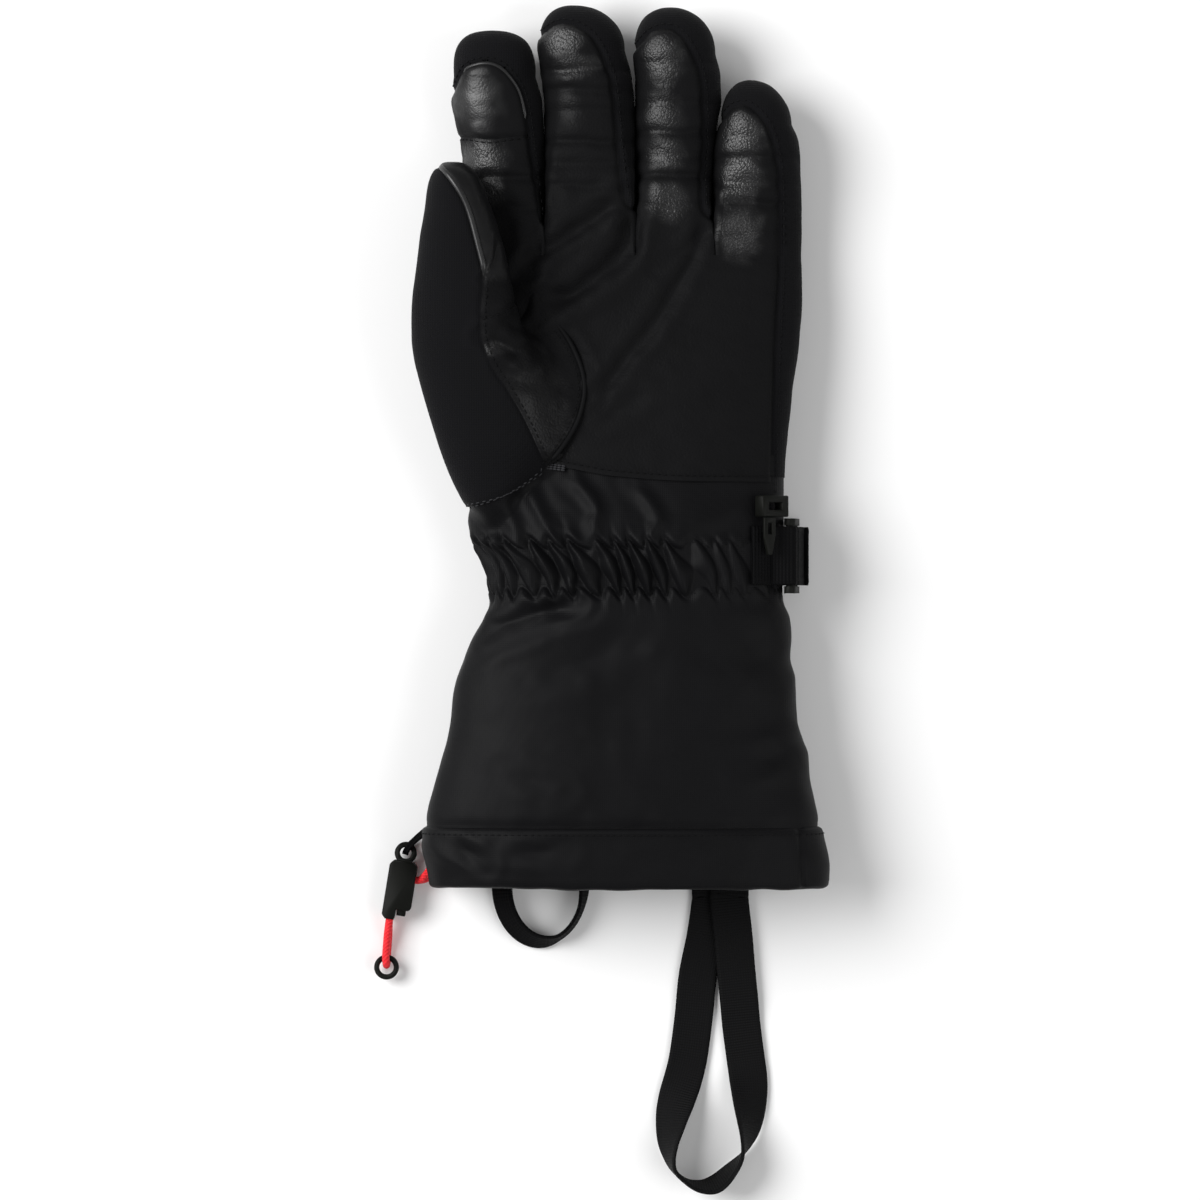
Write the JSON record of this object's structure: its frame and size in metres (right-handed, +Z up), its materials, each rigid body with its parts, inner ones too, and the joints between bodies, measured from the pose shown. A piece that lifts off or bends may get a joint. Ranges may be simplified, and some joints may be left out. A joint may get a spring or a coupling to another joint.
{
  "type": "ski glove",
  "caption": "Insulated left-hand ski glove lying palm up, leather palm and fingers, softshell sides, gathered wrist with strap, gauntlet cuff with drawcord, cord lock, hang loop and leash.",
  "frame": {"origin": "middle of the glove's outline on the table under it, with the leash laid out", "axes": "+X to the little-finger side, +Y to the fingertips, +Z up out of the palm"},
  "size_m": [0.1713, 0.448, 0.055],
  "materials": {
    "leather": "grained, semi-gloss",
    "softshell": "matte knit",
    "fleece_liner": "brushed fleece",
    "nylon": "plain weave, soft sheen",
    "elastic_webbing": "woven elastic",
    "webbing": "woven",
    "red_elastic_cord": "braided",
    "plastic": "moulded, satin",
    "steel": "blackened"
  },
  "bodies": {
    "hand": {"palm_leather": "leather", "back_softshell": "softshell", "hand_liner": "fleece_liner", "index_base_leather": "leather", "index_base_softshell": "softshell", "index_base_liner": "fleece_liner", "wrist_panel": "nylon", "wrist_liner": "fleece_liner", "wrist_gather": "nylon", "gather_liner": "fleece_liner", "wrist_elastic": "elastic_webbing", "wrist_strap": "webbing", "strap_anchor": "webbing", "pair_clip": "plastic"},
    "index_tip": {"index_tip_leather": "leather", "index_tip_softshell": "softshell", "index_tip_liner": "fleece_liner", "index_tip_patch": "leather"},
    "middle_base": {"middle_base_leather": "leather", "middle_base_softshell": "softshell", "middle_base_liner": "fleece_liner"},
    "middle_tip": {"middle_tip_leather": "leather", "middle_tip_softshell": "softshell", "middle_tip_liner": "fleece_liner"},
    "ring_base": {"ring_base_leather": "leather", "ring_base_softshell": "softshell", "ring_base_liner": "fleece_liner"},
    "ring_tip": {"ring_tip_leather": "leather", "ring_tip_softshell": "softshell", "ring_tip_liner": "fleece_liner"},
    "little_base": {"little_base_leather": "leather", "little_base_softshell": "softshell", "little_base_liner": "fleece_liner"},
    "little_tip": {"little_tip_leather": "leather", "little_tip_softshell": "softshell", "little_tip_liner": "fleece_liner"},
    "thumb": {"thumb_leather": "leather", "thumb_softshell": "softshell", "thumb_liner": "fleece_liner"},
    "cuff": {"gauntlet_shell": "nylon", "cuff_liner": "fleece_liner", "hem_band": "nylon", "hem_cord": "red_elastic_cord", "hem_eyelet": "steel", "drawcord_feed": "red_elastic_cord", "lock_body": "plastic", "lock_spring": "steel", "tether_tape": "webbing"},
    "buckle": {"buckle_frame": "plastic"},
    "strap_pull": {"strap_tail": "webbing"},
    "clip_tongue": {"clip_gate": "plastic"},
    "lock_button": {"lock_slider": "plastic"},
    "cord_pull": {"drawcord_pull": "red_elastic_cord", "cord_ring": "plastic"},
    "hang_loop": {"hang_loop": "webbing"},
    "leash": {"leash": "elastic_webbing"}
  },
  "joints": [
    {"name": "index_curl", "type": "hinge", "parent": "hand", "child": "index_tip", "pos_m": [-0.04654, 0.168, 0.03097], "axis": [1, 0, 0], "range_deg": [0, 75], "stiffness_Nm_per_rad": 0.03},
    {"name": "middle_knuckle", "type": "hinge", "parent": "hand", "child": "middle_base", "pos_m": [-0.0109, 0.129, 0.0295], "axis": [1, 0, 0], "range_deg": [0, 70], "stiffness_Nm_per_rad": 0.05},
    {"name": "middle_curl", "type": "hinge", "parent": "middle_base", "child": "middle_tip", "pos_m": [-0.01315, 0.172, 0.03093], "axis": [1, 0, 0], "range_deg": [0, 75], "stiffness_Nm_per_rad": 0.03},
    {"name": "ring_knuckle", "type": "hinge", "parent": "hand", "child": "ring_base", "pos_m": [0.02245, 0.129, 0.0295], "axis": [1, 0, 0], "range_deg": [0, 70], "stiffness_Nm_per_rad": 0.05},
    {"name": "ring_curl", "type": "hinge", "parent": "ring_base", "child": "ring_tip", "pos_m": [0.0203, 0.17, 0.03086], "axis": [1, 0, 0], "range_deg": [0, 75], "stiffness_Nm_per_rad": 0.03},
    {"name": "little_knuckle", "type": "hinge", "parent": "hand", "child": "little_base", "pos_m": [0.0533, 0.129, 0.0295], "axis": [1, 0, 0], "range_deg": [0, 70], "stiffness_Nm_per_rad": 0.05},
    {"name": "little_curl", "type": "hinge", "parent": "little_base", "child": "little_tip", "pos_m": [0.05162, 0.161, 0.0311], "axis": [1, 0, 0], "range_deg": [0, 75], "stiffness_Nm_per_rad": 0.03},
    {"name": "thumb_swing", "type": "hinge", "parent": "hand", "child": "thumb", "pos_m": [-0.065, 0.05025, 0.0415], "axis": [0, 0, 1], "range_deg": [0, 30], "stiffness_Nm_per_rad": 0.08},
    {"name": "wrist_flex", "type": "hinge", "parent": "hand", "child": "cuff", "pos_m": [0.00575, 0.0085, 0.0235], "axis": [1, 0, 0], "range_deg": [-20, 20], "stiffness_Nm_per_rad": 1.2, "deforming": ["wrist_gather", "gather_liner", "wrist_elastic"]},
    {"name": "buckle_tilt", "type": "hinge", "parent": "hand", "child": "buckle", "pos_m": [0.0635, 0.0165, 0.032], "axis": [0, -1, 0], "range_deg": [0, 40]},
    {"name": "strap_adjust", "type": "slide", "parent": "buckle", "child": "strap_pull", "axis": [0.1219, 0, -0.9925], "range_m": [-0.0065, 0.004]},
    {"name": "clip_flex", "type": "hinge", "parent": "hand", "child": "clip_tongue", "pos_m": [0.05602, 0.0308, 0.0401], "axis": [-0.8262, 0, 0.5634], "range_deg": [0, 12], "stiffness_Nm_per_rad": 0.05},
    {"name": "lock_press", "type": "slide", "parent": "cuff", "child": "lock_button", "axis": [0.1599, 0.9871, 0], "range_m": [0, 0.0025], "stiffness_N_per_m": 400, "deforming": ["lock_spring"]},
    {"name": "cord_draw", "type": "slide", "parent": "cuff", "child": "cord_pull", "axis": [-0.1599, -0.9871, 0], "range_m": [0, 0.014]},
    {"name": "hang_loop_swing", "type": "hinge", "parent": "cuff", "child": "hang_loop", "pos_m": [-0.029, -0.10815, 0.0096], "axis": [-1, 0, 0], "range_deg": [0, 80]},
    {"name": "leash_swing", "type": "hinge", "parent": "cuff", "child": "leash", "pos_m": [0.038, -0.10815, 0.0043], "axis": [-1, 0, 0], "range_deg": [0, 80]}
  ]
}
